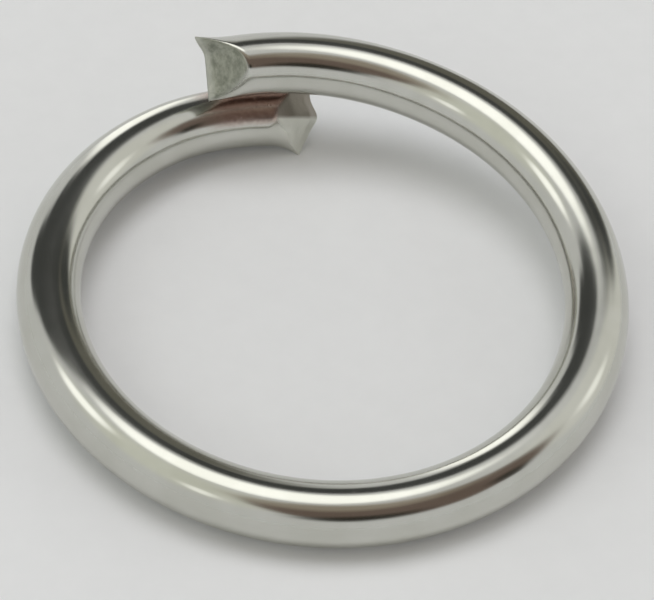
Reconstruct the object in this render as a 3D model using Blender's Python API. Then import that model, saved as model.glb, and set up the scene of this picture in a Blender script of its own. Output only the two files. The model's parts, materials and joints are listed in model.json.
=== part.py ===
"""Split key ring: a single turn of round plated wire whose pinched ends overlap.

The real ring is one length of wire. Here it is three lengths of that wire, which meet
at the front, so that the spring of the wire can be given as two hinges:

  lower_arm   from the lower end, round the left side, to the front
  front_bend  the short stretch opposite the ends; turns on lower_arm, across the wire,
              when the ring is squeezed or spread
  upper_arm   from the front, round the right side, to the upper end, which lies over
              the lower one; turns on front_bend, about the wire itself, when the ends
              are lifted apart to thread a key

Angles run anticlockwise seen from above: 0 is the right side (+X), 90 the back (+Y),
where the ends overlap, and 270 the front (-Y). Lengths are in metres.
"""

import math

import bmesh
import bpy
from mathutils import Matrix, Vector

# Driving dimensions
OUTSIDE_DIAMETER = 0.0200
WIRE_DIAMETER = 0.0021
RISE_PER_TURN = 0.0024
OVERLAP_DEG = 25.0
BEND_DEG = 20.0
SECTION_GAP = 0.0003

# Pinched ends: side cutters leave two flat slopes that meet in a blunt edge
PINCH_LENGTH = 0.0014
EDGE_THICKNESS = 0.00024

# How the ring settles on a flat surface: the way and the angle that its axis leans
LEAN_TOWARDS_DEG = -66.2
LEAN_DEG = 4.47
REST_FLAT_DEPTH = 0.00003

# Fineness
SIDES = 24
STATION_DEG = 5.0

WIRE_RADIUS = WIRE_DIAMETER / 2
COIL_RADIUS = (OUTSIDE_DIAMETER - WIRE_DIAMETER) / 2
BACK_DEG = 90.0
FRONT_DEG = BACK_DEG + 180.0
LOWER_END_DEG = BACK_DEG - OVERLAP_DEG / 2
UPPER_END_DEG = BACK_DEG + 360.0 + OVERLAP_DEG / 2
SPREAD_HINGE_DEG = FRONT_DEG - BEND_DEG / 2
LIFT_HINGE_DEG = FRONT_DEG + BEND_DEG / 2
HALF_GAP_DEG = math.degrees(SECTION_GAP / 2 / COIL_RADIUS)


def coil_point(angle_deg):
    """The middle of the wire at an angle round the coil."""
    angle = math.radians(angle_deg)
    rise = RISE_PER_TURN * (angle_deg - LOWER_END_DEG) / 360
    return Vector((COIL_RADIUS * math.cos(angle), COIL_RADIUS * math.sin(angle), rise))


def coil_directions(angle_deg):
    """(along, outward, upward) at an angle: along the wire, and across it two ways."""
    angle = math.radians(angle_deg)
    outward = Vector((math.cos(angle), math.sin(angle), 0))
    climb = RISE_PER_TURN / (2 * math.pi * COIL_RADIUS)
    along = Vector((-math.sin(angle), math.cos(angle), climb)).normalized()
    return along, outward, outward.cross(along).normalized()


def wire_section(angle_deg):
    """The outline of the wire across one station, with a side facing straight down."""
    _, outward, upward = coil_directions(angle_deg)
    points = []
    for side in range(SIDES):
        turn = 2 * math.pi * (side + 0.5) / SIDES
        offset = outward * math.sin(turn) - upward * math.cos(turn)
        points.append(coil_point(angle_deg) + offset * WIRE_RADIUS)
    return points


def cut_away(bm, near, point, normal):
    """Cuts the wire's end, at `near`, off past a plane, on the side its normal faces."""
    reach = 2 * PINCH_LENGTH
    faces = [f for f in bm.faces if (f.calc_center_median() - near).length < reach]
    parts = set(faces)
    for face in faces:
        parts |= set(face.edges) | set(face.verts)
    bmesh.ops.bisect_plane(
        bm, geom=list(parts), plane_co=point, plane_no=normal, clear_outer=True
    )
    rim = [edge for edge in bm.edges if edge.is_boundary]
    bmesh.ops.edgenet_fill(bm, edges=rim)


def pinch(bm, end_deg, outwards):
    """Pinches an end of the wire; outwards is +1 where the wire runs out of it, else -1.

    The jaws close halfway between upward and inward, so the edge that they leave runs
    halfway between upward and outward.
    """
    along, outward, upward = coil_directions(end_deg)
    squeeze = (upward - outward).normalized()
    half_edge = EDGE_THICKNESS / 2
    slope = math.atan2(WIRE_RADIUS - half_edge, PINCH_LENGTH)
    for side in (1, -1):
        end = coil_point(end_deg)
        normal = squeeze * (side * math.cos(slope)) + along * (outwards * math.sin(slope))
        cut_away(bm, end, end + squeeze * (side * half_edge), normal)


def wire_length(name, first_deg, last_deg):
    """One length of the wire, as a mesh in the coil's own coordinates."""
    bm = bmesh.new()
    count = round((last_deg - first_deg) / STATION_DEG)
    rings = []
    for i in range(count + 1):
        section = wire_section(first_deg + (last_deg - first_deg) * i / count)
        rings.append([bm.verts.new(point) for point in section])
    for ring, following in zip(rings, rings[1:]):
        for i in range(SIDES):
            j = (i + 1) % SIDES
            bm.faces.new((ring[i], following[i], following[j], ring[j]))
    bm.faces.new(rings[0])
    bm.faces.new(rings[-1])
    if first_deg == LOWER_END_DEG:
        pinch(bm, first_deg, outwards=-1)
    if last_deg == UPPER_END_DEG:
        pinch(bm, last_deg, outwards=1)
    bmesh.ops.recalc_face_normals(bm, faces=bm.faces)
    mesh = bpy.data.meshes.new(name)
    bm.to_mesh(mesh)
    bm.free()
    return mesh


def settled(meshes):
    """The turn and shift that lay the coil down: its box centred on the origin, at z = 0."""
    towards = math.radians(LEAN_TOWARDS_DEG)
    axis = Vector((-math.sin(towards), math.cos(towards), 0))
    lean = Matrix.Rotation(math.radians(LEAN_DEG), 4, axis)
    points = [lean @ v.co for mesh in meshes for v in mesh.vertices]
    low = Vector([min(p[i] for p in points) for i in range(3)])
    high = Vector([max(p[i] for p in points) for i in range(3)])
    middle = (low + high) / 2
    drop = Vector((-middle.x, -middle.y, -low.z - REST_FLAT_DEPTH))
    return Matrix.Translation(drop) @ lean


def plated_material(name, tint):
    """Bright nickel plate on steel wire."""
    material = bpy.data.materials.new(name)
    material.use_nodes = True
    shader = material.node_tree.nodes["Principled BSDF"]
    shader.inputs["Base Color"].default_value = (*tint, 1)
    shader.inputs["Metallic"].default_value = 1.0
    shader.inputs["Roughness"].default_value = 0.12
    material.diffuse_color = (*tint, 1)
    return material


def place(name, mesh, lay_down, hinge_deg, parent, tint):
    """Lays a length of wire down, with its origin on the wire's middle at hinge_deg."""
    mesh.transform(lay_down)
    for vertex in mesh.vertices:
        vertex.co.z = max(vertex.co.z, 0.0)
    origin = lay_down @ coil_point(hinge_deg)
    mesh.transform(Matrix.Translation(-origin))
    mesh.shade_smooth()
    mesh.set_sharp_from_angle(angle=math.radians(35))
    mesh.materials.append(plated_material(name + "_plate", tint))
    piece = bpy.data.objects.new(name, mesh)
    bpy.context.scene.collection.objects.link(piece)
    piece.location = origin
    if parent:
        piece.parent = parent
        piece.location = origin - parent.matrix_world.translation
    bpy.context.view_layer.update()
    return piece


def main():
    for old in list(bpy.data.objects):
        bpy.data.objects.remove(old)
    lower = wire_length("lower_arm", LOWER_END_DEG, SPREAD_HINGE_DEG - HALF_GAP_DEG)
    bend = wire_length(
        "front_bend", SPREAD_HINGE_DEG + HALF_GAP_DEG, LIFT_HINGE_DEG - HALF_GAP_DEG
    )
    upper = wire_length("upper_arm", LIFT_HINGE_DEG + HALF_GAP_DEG, UPPER_END_DEG)
    lay_down = settled([lower, bend, upper])
    lower_arm = place(
        "lower_arm", lower, lay_down, SPREAD_HINGE_DEG, None, (0.72, 0.71, 0.67)
    )
    front_bend = place(
        "front_bend", bend, lay_down, SPREAD_HINGE_DEG, lower_arm, (0.70, 0.69, 0.65)
    )
    place("upper_arm", upper, lay_down, LIFT_HINGE_DEG, front_bend, (0.74, 0.73, 0.69))


main()
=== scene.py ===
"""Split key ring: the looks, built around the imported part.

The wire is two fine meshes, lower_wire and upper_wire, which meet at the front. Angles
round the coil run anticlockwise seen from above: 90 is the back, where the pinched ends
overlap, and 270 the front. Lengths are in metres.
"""

import json
import math
from collections import namedtuple

import bmesh
import bpy
import numpy as np
from mathutils import Matrix, Vector


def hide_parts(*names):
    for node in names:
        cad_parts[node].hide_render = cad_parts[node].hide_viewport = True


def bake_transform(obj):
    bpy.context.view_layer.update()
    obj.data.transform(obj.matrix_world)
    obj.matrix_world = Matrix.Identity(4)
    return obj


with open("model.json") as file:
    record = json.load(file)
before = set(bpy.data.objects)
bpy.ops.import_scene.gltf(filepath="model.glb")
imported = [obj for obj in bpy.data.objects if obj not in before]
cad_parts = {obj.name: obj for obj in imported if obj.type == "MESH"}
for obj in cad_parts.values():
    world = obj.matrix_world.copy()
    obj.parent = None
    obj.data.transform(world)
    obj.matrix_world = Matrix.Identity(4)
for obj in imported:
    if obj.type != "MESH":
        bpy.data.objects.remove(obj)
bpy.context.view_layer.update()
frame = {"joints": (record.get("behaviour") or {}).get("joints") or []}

MM = 0.001

# The wire, as the part's source has it
WIRE_RADIUS = 1.05 * MM
COIL_RADIUS = 8.95 * MM
RISE_PER_TURN = 2.4 * MM
OVERLAP_DEG = 25
BEND_DEG = 20
FRONT_DEG = 270
LOWER_END_DEG = 90 - OVERLAP_DEG / 2
UPPER_END_DEG = 450 + OVERLAP_DEG / 2
SPREAD_HINGE_DEG = FRONT_DEG - BEND_DEG / 2
OVERLAP_LENGTH = math.radians(OVERLAP_DEG) * COIL_RADIUS

# How far the real wire springs away from the true coil, and over what stretch of it
LOWER_SPRUNG_IN = 0.20 * MM
LOWER_SPRUNG_DEG = 34
UPPER_SPRUNG_OUT = 0.12 * MM
UPPER_SPRUNG_DEG = 55

# The pinched ends, and the marks on the wire
EDGE_THICKNESS = 0.10 * MM
CREASE = 0.07 * MM
SLOPE_FADE = 0.06 * MM
TOOL_MARK_DEPTH = 0.006 * MM
TOOL_MARK_MM = 0.5
WANDER_SHARE = 0.0022
WANDER_MM = 9.0

# Angles either way from the front, handed to bend
BLEND_NEAR_DEG = 3
BLEND_FAR_DEG = 30

# Fineness of the meshes; stations crowd towards the tip
SIDES = 96
STATIONS = 460
CROWDING = 1.45
SHARP_DEG = 50


# ------------------------------------------------------------------------- small helpers


def smooth(value, low, high):
    """0 below low, 1 above high, and a smooth step between them."""
    t = np.clip((value - low) / (high - low), 0, 1)
    return t * t * (3 - 2 * t)


def soft_min(a, b, width):
    """The smaller of a and b, rounded over where they cross."""
    nearness = np.maximum(width - np.abs(a - b), 0) / width
    return np.minimum(a, b) - nearness * nearness * width / 4


def ripple(along, around, seed, longest):
    """A smooth wandering value of about -1 to 1 over the wire, with no seam around it."""
    random = np.random.default_rng(seed)
    total = 0
    weight = 0
    for octave in range(4):
        for _ in range(3):
            share = 0.6**octave
            turns = random.integers(0, 2 + octave)
            wave = longest / 2**octave * random.uniform(0.7, 1.4)
            phase = random.uniform(0, 2 * math.pi, 2)
            crest = np.sin(along * 2 * math.pi / wave + phase[0])
            total = total + share * crest * np.cos(turns * around + phase[1])
            weight += share
    return total / weight * 1.8


# ----------------------------------------------------------------- the coil in the frame


def joint(name):
    return next(j for j in frame["joints"] if j["name"] == name)


# Both hinges sit on the wire's middle, so the chord between them gives the coil's own x
spread_point = Vector(joint("end_spread")["pos_m"])
lift_point = Vector(joint("end_lift")["pos_m"])
coil_axis = Vector(joint("end_spread")["axis"]).normalized()
chord = lift_point - spread_point
coil_x = (chord - chord.dot(coil_axis) * coil_axis).normalized()
coil_y = coil_axis.cross(coil_x)


def coil_local(angles):
    """The wire's middle in the coil's own coordinates, for angles in degrees."""
    turn = np.radians(angles)
    rise = RISE_PER_TURN * (np.asarray(angles) - LOWER_END_DEG) / 360
    sprung_in = 1 - smooth(angles, LOWER_END_DEG, LOWER_END_DEG + LOWER_SPRUNG_DEG)
    sprung_out = smooth(angles, UPPER_END_DEG - UPPER_SPRUNG_DEG, UPPER_END_DEG)
    radius = COIL_RADIUS + UPPER_SPRUNG_OUT * sprung_out - LOWER_SPRUNG_IN * sprung_in
    return np.stack([radius * np.cos(turn), radius * np.sin(turn), rise], -1)


coil_to_world = np.array([coil_x, coil_y, coil_axis])
coil_origin = np.array(spread_point) - coil_local(SPREAD_HINGE_DEG) @ coil_to_world


def wire_middle(angles):
    return coil_origin + coil_local(angles) @ coil_to_world


def wire_directions(angles):
    """(along, outward, upward) at each angle: along the wire, and across it two ways."""
    turn = np.radians(angles)
    flat = np.zeros_like(turn)
    outward = np.stack([np.cos(turn), np.sin(turn), flat], -1)
    climb = RISE_PER_TURN / (2 * math.pi * COIL_RADIUS)
    along = np.stack([-np.sin(turn), np.cos(turn), flat + climb], -1)
    along /= np.linalg.norm(along, axis=-1, keepdims=True)
    upward = np.cross(outward, along)
    return along @ coil_to_world, outward @ coil_to_world, upward @ coil_to_world


# -------------------------------------------------------------------------- the two tips

# angle    where the tip is, round the coil
# pinch    how far back its two flat slopes reach
# reach    how far its edge runs out, from the inner ear (-1) to the outer one (1)
# spread   how much wider than the wire its edge is, as a share of the radius
# ridge    height of the fold along the middle of the slope that faces up and inward
# facing   the side that faces the other wire, in degrees round the wire from the edge; the painted shade of the overlap is centred on it
# clean    how much of its slopes take the pale sheared colour, from 0 to 1; on the lower tip that colour is painted reflection of the pale floor
# seed     for its wander and its tool marks
Tip = namedtuple("Tip", "angle pinch reach spread ridge facing clean seed")


def lower_reach(across):
    """A blunt point in the middle, and the inner ear drawn back."""
    point = 0.34 * np.exp(-((across / 0.42) ** 2))
    return (point - 0.18 * smooth(-across, 0.5, 1.0)) * MM


def lower_spread(across):
    return np.where(across > 0, 0.04, 0.33 * smooth(-across, 0, 1))


def upper_reach(across):
    """Slanted back towards the outer ear, which itself is drawn out to a thorn."""
    outer_ear = 0.27 * smooth(across, 0.45, 1.0)
    return (outer_ear - 0.09 - 0.16 * across) * MM


def upper_spread(across):
    return np.where(across > 0, 0.21 * smooth(across, 0, 1), -0.06 * smooth(-across, 0, 1))


# Most of the lower tip's slopes are given the pale sheared colour, as a painted reflection
# of the pale floor
LOWER_TIP = Tip(
    LOWER_END_DEG, 1.40 * MM, lower_reach, lower_spread,
    ridge=0.20 * MM, facing=52, clean=0.85, seed=3,
)
UPPER_TIP = Tip(
    UPPER_END_DEG, 1.25 * MM, upper_reach, upper_spread,
    ridge=0, facing=225, clean=0, seed=11,
)


# ------------------------------------------------------------------------------ the wire


def wire_faces():
    """Four-sided faces between the stations, and across each end's section."""
    faces = []
    for i in range(STATIONS):
        for j in range(SIDES):
            k = (j + 1) % SIDES
            a, b = i * SIDES, (i + 1) * SIDES
            faces.append((a + j, b + j, b + k, a + k))
    for start in (0, STATIONS * SIDES):
        for j in range(SIDES // 2):
            k = (SIDES - j) % SIDES
            corners = [start + j, start + j + 1, start + (k - 1) % SIDES, start + k]
            faces.append(tuple(dict.fromkeys(corners)))
    return faces


def closed_mesh(name, points, faces):
    """A smooth-shaded mesh with its faces pointing out."""
    mesh = bpy.data.meshes.new(name)
    mesh.from_pydata(points.reshape(-1, 3).tolist(), [], faces)
    bm = bmesh.new()
    bm.from_mesh(mesh)
    bmesh.ops.recalc_face_normals(bm, faces=bm.faces)
    bm.to_mesh(mesh)
    bm.free()
    mesh.shade_smooth()
    mesh.set_sharp_from_angle(angle=math.radians(SHARP_DEG))
    return mesh


def store(mesh, name, kind, values):
    """Keeps a value at each vertex for the material to read."""
    attribute = mesh.attributes.new(name, kind, "POINT")
    field = "vector" if kind == "FLOAT_VECTOR" else "value"
    attribute.data.foreach_set(field, np.asarray(values, np.float32).ravel())


def pinched_section(tip, run, around, wander):
    """The section at each station, as three lengths for each of its points.

    They are how far a point lies along the edge, how far through the pinch, and how far
    it runs out past its station. The fourth value says how much it is on a slope.
    """
    across = np.cos(around)
    through = np.sin(around)
    half_edge = EDGE_THICKNESS / 2
    near = 1 - np.clip(run / tip.pinch, 0, 1)

    slab = half_edge + run * (WIRE_RADIUS - half_edge) / tip.pinch
    fold = np.maximum(1 - np.abs(across) / 0.85, 0)
    fold = fold * (1 - smooth(run, 0.5 * tip.pinch, tip.pinch))
    slab = slab + tip.ridge * fold * (through > 0) * smooth(run, 0, 0.25 * MM)

    overshoot = np.abs(through) * WIRE_RADIUS - slab
    fade = SLOPE_FADE * (1 + 5 * smooth(-across, 0, 0.6))
    on_slope = smooth(overshoot, -fade / 3, fade)
    marks = ripple(run / MM, 5 * across + around * 0, tip.seed + 7, TOOL_MARK_MM)
    slab = slab + TOOL_MARK_DEPTH * marks * on_slope * smooth(run, 0, 0.1 * MM)

    radius = WIRE_RADIUS * (1 + WANDER_SHARE * wander)
    crease = CREASE * (1.5 + 5 * smooth(-across, 0, 0.7))
    thick = soft_min(np.abs(through) * radius, slab, crease) * np.sign(through)
    wide = across * radius * (1 + tip.spread(across) * near**2)
    reach = tip.reach(across) * (1 - np.clip(run / (1.5 * tip.pinch), 0, 1)) ** 2
    return wide, thick, reach, on_slope


def store_surface(mesh, tip, angles, run, around, wander, on_slope):
    """Stores what the material reads: places on the wire, slopes, the painted shade of the
    overlap, and the pale sheared colour, which is partly painted reflection.
    """
    across = np.cos(around)
    flat = np.ones_like(wander)
    on_facet = on_slope * (run < tip.pinch * 1.1)

    # Painted shade: along the overlap, the side facing the other wire is coloured darker, as
    # shade and dark reflection under and beside that wire; on a slope, only its upper half
    # is darkened
    painted_overlap_shade = smooth(np.cos(around - math.radians(tip.facing)) + 0.08 * wander, 0.58, 0.80)
    painted_overlap_shade = painted_overlap_shade * (1 - on_facet * (1 - smooth(across, -0.06, 0.04)))
    painted_overlap_shade = painted_overlap_shade * (1 - smooth(run, 0.80 * OVERLAP_LENGTH, 1.15 * OVERLAP_LENGTH))
    # Pale sheared colour: a strip along each cut edge, and most of the lower tip's slopes,
    # where it is painted reflection of the pale floor
    clean = np.maximum(0.35 * (1 - smooth(run, 0.04 * MM, 0.24 * MM)), tip.clean)

    along = np.radians(angles)[:, None] * COIL_RADIUS
    sides = (along, across * WIRE_RADIUS, np.sin(around) * WIRE_RADIUS)
    place = np.stack([flat * side for side in sides], -1)
    store(mesh, "wire_place", "FLOAT_VECTOR", place / MM)
    store(mesh, "on_facet", "FLOAT", on_facet * flat)
    store(mesh, "painted_overlap_shade", "FLOAT", painted_overlap_shade)
    store(mesh, "clean", "FLOAT", clean * flat)


def wire_piece(name, tip):
    """One stretch of the wire, from its pinched tip to the seam at the front."""
    onward = 1 if FRONT_DEG > tip.angle else -1
    length = math.radians(abs(FRONT_DEG - tip.angle)) * COIL_RADIUS
    from_tip = length * (np.arange(STATIONS + 1) / STATIONS) ** CROWDING
    angles = tip.angle + onward * np.degrees(from_tip / COIL_RADIUS)
    along, outward, upward = wire_directions(angles)
    edge_way = (outward + upward) / math.sqrt(2)
    squeeze_way = (upward - outward) / math.sqrt(2)

    run = from_tip[:, None]
    around = 2 * math.pi * np.arange(SIDES)[None, :] / SIDES
    wander = ripple(run / MM, around, tip.seed, WANDER_MM)
    wide, thick, reach, on_slope = pinched_section(tip, run, around, wander)
    points = (
        wire_middle(angles)[:, None, :]
        + edge_way[:, None, :] * wide[..., None]
        + squeeze_way[:, None, :] * thick[..., None]
        - onward * along[:, None, :] * reach[..., None]
    )
    # An ear that would go under the floor is bent up and inward instead
    below = np.minimum(points[..., 2], 0)
    points -= outward[:, None, :] * np.abs(below)[..., None]
    points[..., 2] -= below

    mesh = closed_mesh(name, points, wire_faces())
    store_surface(mesh, tip, angles, run, around, wander, on_slope)
    piece = bpy.data.objects.new(name, mesh)
    bpy.context.scene.collection.objects.link(piece)
    return piece


# ------------------------------------------------------------------------ node shorthand


class Nodes:
    """Makes and joins shader nodes with little text."""

    def __init__(self, tree):
        self.tree = tree

    def add(self, kind, inputs=None, **settings):
        node = self.tree.nodes.new("ShaderNode" + kind)
        for key, value in settings.items():
            setattr(node, key, value)
        for key, value in (inputs or {}).items():
            self.set(node.inputs[key], value)
        return node

    def set(self, socket, value):
        if isinstance(value, bpy.types.NodeSocket):
            self.tree.links.new(value, socket)
        else:
            socket.default_value = value

    def attribute(self, name, output="Fac"):
        return self.add("Attribute", attribute_name=name).outputs[output]

    def math(self, operation, a, b=0.0, c=0.0):
        return self.add("Math", {0: a, 1: b, 2: c}, operation=operation).outputs[0]

    def dot(self, a, b):
        node = self.add("VectorMath", {0: a, 1: b}, operation="DOT_PRODUCT")
        return node.outputs["Value"]

    def scaled(self, vector, factors):
        node = self.add("VectorMath", {0: vector, 1: factors}, operation="MULTIPLY")
        return node.outputs["Vector"]

    def step(self, value, low, high, to_low=0.0, to_high=1.0):
        """A smooth step from to_low, below low, to to_high, above high."""
        node = self.add(
            "MapRange",
            {"Value": value, "From Min": low, "From Max": high, "To Min": to_low,
             "To Max": to_high},
            interpolation_type="SMOOTHSTEP",
        )
        return node.outputs["Result"]

    def mix(self, factor, a, b):
        """A colour between a, at factor 0, and b, at factor 1; each a socket or a colour."""
        node = self.add("Mix", data_type="RGBA")
        for socket, value in zip([i for i in node.inputs if i.enabled], (factor, a, b)):
            self.set(socket, (*value, 1) if isinstance(value, tuple) else value)
        return next(o for o in node.outputs if o.enabled)

    def noise(self, vector, scale, detail, roughness):
        node = self.add(
            "TexNoise",
            {"Vector": vector, "Scale": scale, "Detail": detail, "Roughness": roughness},
        )
        return node.outputs["Fac"]


# ------------------------------------------------------------------------- the materials

PLATE_WORN = (0.565, 0.565, 0.515)
PLATE_BRIGHT = (0.60, 0.60, 0.555)
BRUISED_DARK = (0.20, 0.21, 0.17)
BRUISED_PALE = (0.36, 0.37, 0.31)
# Pale sheared metal, and painted reflection on the lower tip's slopes
SHEARED_AND_PAINTED_REFLECTION = (0.80, 0.80, 0.73)
# Painted shade and dark reflection where the two wires overlap
PAINTED_SHADE_DARK = (0.40, 0.29, 0.25)
PAINTED_SHADE_PALE = (0.52, 0.41, 0.36)
PAINTED_SHADE_ON_SLOPE = (0.24, 0.21, 0.175)
PAPER_LOW = (0.765, 0.77, 0.775)
PAPER_HIGH = (0.805, 0.81, 0.815)


def nickel_plate():
    """Bright nickel on drawn wire: faint draw lines, worn patches, duller pinched ends,
    painted shade where the wires overlap, and a painted reflection on the lower tip's
    slopes.
    """
    material = bpy.data.materials.new("nickel_plate")
    material.use_nodes = True
    nodes = Nodes(material.node_tree)
    shader = material.node_tree.nodes["Principled BSDF"]

    # Places are in millimetres: along the wire, then along and through the pinch
    place = nodes.attribute("wire_place", "Vector")
    facet = nodes.attribute("on_facet")
    painted_overlap_shade = nodes.attribute("painted_overlap_shade")
    clean = nodes.attribute("clean")

    draw_lines = nodes.noise(nodes.scaled(place, (0.35, 14.0, 14.0)), 1.0, 3.0, 0.55)
    fine_lines = nodes.noise(nodes.scaled(place, (1.2, 42.0, 42.0)), 1.0, 2.0, 0.5)
    cloud = nodes.noise(place, 0.55, 3.0, 0.55)
    grain = nodes.noise(place, 9.0, 4.0, 0.6)
    pits = nodes.step(nodes.noise(place, 5.5, 2.0, 0.5), 0.70, 0.78)
    crush = nodes.noise(nodes.scaled(place, (6.0, 2.5, 6.0)), 1.0, 4.0, 0.65)

    plate = nodes.mix(nodes.step(cloud, 0.35, 0.65), PLATE_WORN, PLATE_BRIGHT)
    slope_colour = nodes.mix(nodes.step(crush, 0.3, 0.7), BRUISED_DARK, BRUISED_PALE)
    # Pale sheared colour along the cut edges, and painted reflection over the lower tip's
    # slopes
    slope_colour = nodes.mix(clean, slope_colour, SHEARED_AND_PAINTED_REFLECTION)
    colour = nodes.mix(facet, plate, slope_colour)
    # Painted shade along the overlap, browned as the other wire's dark reflection
    painted_shade = nodes.mix(nodes.step(grain, 0.35, 0.65), PAINTED_SHADE_DARK, PAINTED_SHADE_PALE)
    painted_shade = nodes.mix(facet, painted_shade, PAINTED_SHADE_ON_SLOPE)
    colour = nodes.mix(nodes.math("MULTIPLY", painted_overlap_shade, 0.85), colour, painted_shade)
    nodes.set(shader.inputs["Base Color"], colour)
    shader.inputs["Metallic"].default_value = 1.0

    wire_rough = nodes.math("MULTIPLY_ADD", cloud, 0.05, 0.115)
    wire_rough = nodes.math("MULTIPLY_ADD", pits, 0.05, wire_rough)
    wire_rough = nodes.math("MULTIPLY_ADD", painted_overlap_shade, 0.12, wire_rough)
    facet_rough = nodes.math("MULTIPLY_ADD", crush, 0.18, 0.30)
    rough = nodes.add("Mix", {"Factor": facet, "A": wire_rough, "B": facet_rough})
    nodes.set(shader.inputs["Roughness"], rough.outputs["Result"])

    relief = nodes.math("MULTIPLY", draw_lines, 0.45)
    relief = nodes.math("MULTIPLY_ADD", fine_lines, 0.18, relief)
    relief = nodes.math("MULTIPLY_ADD", grain, 0.10, relief)
    crushed = nodes.math("MULTIPLY", crush, facet)
    relief = nodes.math("MULTIPLY_ADD", crushed, 7.0, relief)
    bump = nodes.add("Bump", {"Height": relief, "Distance": 0.004 * MM, "Strength": 0.5})
    nodes.set(shader.inputs["Normal"], bump.outputs["Normal"])
    return material


def paper_floor():
    """A plain pale sheet for the ring to lie on."""
    material = bpy.data.materials.new("pale_floor")
    material.use_nodes = True
    nodes = Nodes(material.node_tree)
    shader = material.node_tree.nodes["Principled BSDF"]
    place = nodes.add("TexCoord").outputs["Object"]
    fibre = nodes.noise(place, 900.0, 3.0, 0.6)
    nodes.set(shader.inputs["Base Color"], nodes.mix(fibre, PAPER_LOW, PAPER_HIGH))
    shader.inputs["Roughness"].default_value = 0.75
    shader.inputs["Specular IOR Level"].default_value = 0.2
    bump = nodes.add("Bump", {"Height": fibre, "Distance": 0.02 * MM, "Strength": 0.3})
    nodes.set(shader.inputs["Normal"], bump.outputs["Normal"])
    return material


# -------------------------------------------------------------------------------- pieces

lower_wire = wire_piece("lower_wire", LOWER_TIP)
upper_wire = wire_piece("upper_wire", UPPER_TIP)
plate_material = nickel_plate()
lower_wire.data.materials.append(plate_material)
upper_wire.data.materials.append(plate_material)


def bend(piece, from_deg, to_deg, heading):
    """Bakes the piece's transform into its mesh; the reach worked out from from_deg, to_deg
    and heading is not used.
    """
    heading = Vector(heading).normalized()
    start = Vector(wire_middle(from_deg))
    reach = (Vector(wire_middle(to_deg)) - start).dot(heading)
    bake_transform(piece)


bend(
    lower_wire,
    FRONT_DEG - BLEND_FAR_DEG, FRONT_DEG - BLEND_NEAR_DEG, (1, -1, 0),
)
bend(
    upper_wire,
    FRONT_DEG + BLEND_NEAR_DEG, FRONT_DEG + BLEND_FAR_DEG, (1, 1, 0),
)
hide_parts("lower_arm", "front_bend")
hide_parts("upper_arm")


# ---------------------------------------------------------------------- floor and camera

FLOOR_SIZE = 3.0

floor_mesh = bpy.data.meshes.new("floor")
half = FLOOR_SIZE / 2
corners = [(-half, -half, 0), (half, -half, 0), (half, half, 0), (-half, half, 0)]
floor_mesh.from_pydata(corners, [], [(0, 1, 2, 3)])
floor_mesh.materials.append(paper_floor())
floor = bpy.data.objects.new("floor", floor_mesh)
bpy.context.scene.collection.objects.link(floor)

CAMERA_AZIMUTH_DEG = -109.95
CAMERA_ELEVATION_DEG = 47.09
CAMERA_DISTANCE = 99.75 * MM
CAMERA_AIM = Vector((0.477, 0.889, 0)) * MM
CAMERA_ROLL_DEG = 5.70
CAMERA_LENS = 164.6


def direction(azimuth_deg, elevation_deg):
    """The way to azimuth_deg round the part, anticlockwise from +X, and up by elevation."""
    a, e = math.radians(azimuth_deg), math.radians(elevation_deg)
    return Vector((math.cos(a) * math.cos(e), math.sin(a) * math.cos(e), math.sin(e)))


def add_camera():
    back = direction(CAMERA_AZIMUTH_DEG, CAMERA_ELEVATION_DEG)
    right = Vector((0, 0, 1)).cross(back).normalized()
    up = back.cross(right)
    roll = math.radians(CAMERA_ROLL_DEG)
    rolled_right = right * math.cos(roll) + up * math.sin(roll)
    rolled_up = up * math.cos(roll) - right * math.sin(roll)
    turn = Matrix((rolled_right, rolled_up, back)).transposed().to_4x4()
    data = bpy.data.cameras.new("camera")
    data.lens = CAMERA_LENS
    data.clip_start = 0.005
    data.clip_end = 20
    camera = bpy.data.objects.new("camera", data)
    camera.matrix_world = Matrix.Translation(CAMERA_AIM + back * CAMERA_DISTANCE) @ turn
    bpy.context.scene.collection.objects.link(camera)
    bpy.context.scene.camera = camera


add_camera()


# -------------------------------------------------------------------------- surroundings

PALE = (0.70, 0.705, 0.70)
WARM_PALE = (0.76, 0.77, 0.69)
CREAM = (0.80, 0.80, 0.76)
DARK = (0.060, 0.062, 0.060)
SHADE = (0.155, 0.150, 0.125)
BROWN = (0.175, 0.130, 0.108)
PALE_BROWN = (0.36, 0.31, 0.25)
NEAR_BLACK = (0.030, 0.027, 0.020)
BRIGHT = (1.65, 1.65, 1.60)
GLIMMER = (1.4, 1.4, 1.35)
FAINT_GLIMMER = (1.3, 1.3, 1.25)
PLAIN_GREY = (0.66, 0.66, 0.66)

# The soft light overhead: degrees to the right, elevation, half its width, half its height
OVERHEAD = (-20, 78, 19, 16)
OVERHEAD_FILL = (3.4, 3.4, 3.45)
FILL_GAIN = (1.18, 1.19, 1.21)


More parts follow.
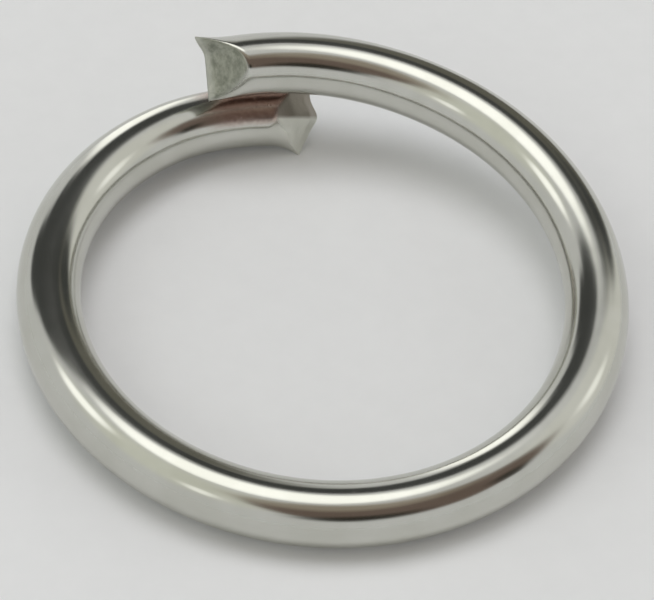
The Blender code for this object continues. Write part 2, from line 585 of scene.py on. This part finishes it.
def surroundings():
    """A pale room with a soft light overhead, seen only by light and in reflections."""
    world = bpy.data.worlds.new("studio")
    bpy.context.scene.world = world
    world.use_nodes = True
    nodes = Nodes(world.node_tree)
    look = nodes.add("TexCoord").outputs["Generated"]
    away = CAMERA_AZIMUTH_DEG + 180

    def patch(below, colour, to_right, elevation, half_wide, half_high, blur=0.25):
        """A soft oval of colour, to_right degrees clockwise from straight ahead."""
        middle = direction(away - to_right, elevation)
        side = direction(away - to_right - 90, 0)
        up = side.cross(middle)
        depth = nodes.dot(look, middle)
        x = nodes.dot(look, side / math.tan(math.radians(half_wide)))
        y = nodes.dot(look, up / math.tan(math.radians(half_high)))
        square = nodes.math("MULTIPLY_ADD", x, x, nodes.math("MULTIPLY", y, y))
        size = nodes.math("SQRT", square)
        size = nodes.math("DIVIDE", size, nodes.math("MAXIMUM", depth, 0.001))
        inside = nodes.step(size, 1 - blur, 1 + blur, 1.0, 0.0)
        return nodes.mix(inside, below, colour)

    # Pale walls, to the right and behind on the left
    sky = patch(PALE, CREAM, 62, 32, 28, 30)
    sky = patch(sky, WARM_PALE, -125, 50, 30, 25, 0.5)
    # Dark shapes ahead, which make the dark bands on the left and right sides
    sky = patch(sky, DARK, -26, 43, 26, 17, 0.2)
    sky = patch(sky, DARK, -47, 27, 11, 11, 0.3)
    sky = patch(sky, SHADE, 22, 22, 19, 26, 0.2)
    sky = patch(sky, DARK, 8, 45, 22, 10, 0.3)
    sky = patch(sky, DARK, 36, 24, 9, 14, 0.5)
    # Brown shapes behind, which make the bands along the front and along the back
    sky = patch(sky, BROWN, 127, 47, 29, 22, 0.2)
    sky = patch(sky, BROWN, 166, 55, 20, 20, 0.2)
    sky = patch(sky, NEAR_BLACK, 160, 34, 17, 8, 0.5)
    sky = patch(sky, NEAR_BLACK, 109, 33, 5, 9, 0.5)
    sky = patch(sky, PALE_BROWN, 154, 70, 22, 9, 0.6)
    # Lights: the soft one overhead, then two lower ones and two glimmers
    sky = patch(sky, BRIGHT, *OVERHEAD, 0.18)
    sky = patch(sky, BRIGHT, -16, 8, 7, 22, 0.35)
    sky = patch(sky, BRIGHT, -88, 44, 10, 9, 0.4)
    sky = patch(sky, GLIMMER, -146, 37, 5, 6, 0.5)
    sky = patch(sky, FAINT_GLIMMER, 72, 29, 6, 8, 0.5)

    fill = patch(nodes.scaled(sky, FILL_GAIN), OVERHEAD_FILL, *OVERHEAD)
    rays = nodes.add("LightPath").outputs
    colour = nodes.mix(rays["Is Glossy Ray"], fill, sky)
    colour = nodes.mix(rays["Is Camera Ray"], colour, PLAIN_GREY)
    nodes.set(world.node_tree.nodes["Background"].inputs["Color"], colour)


surroundings()
bpy.context.scene.view_settings.view_transform = "Standard"
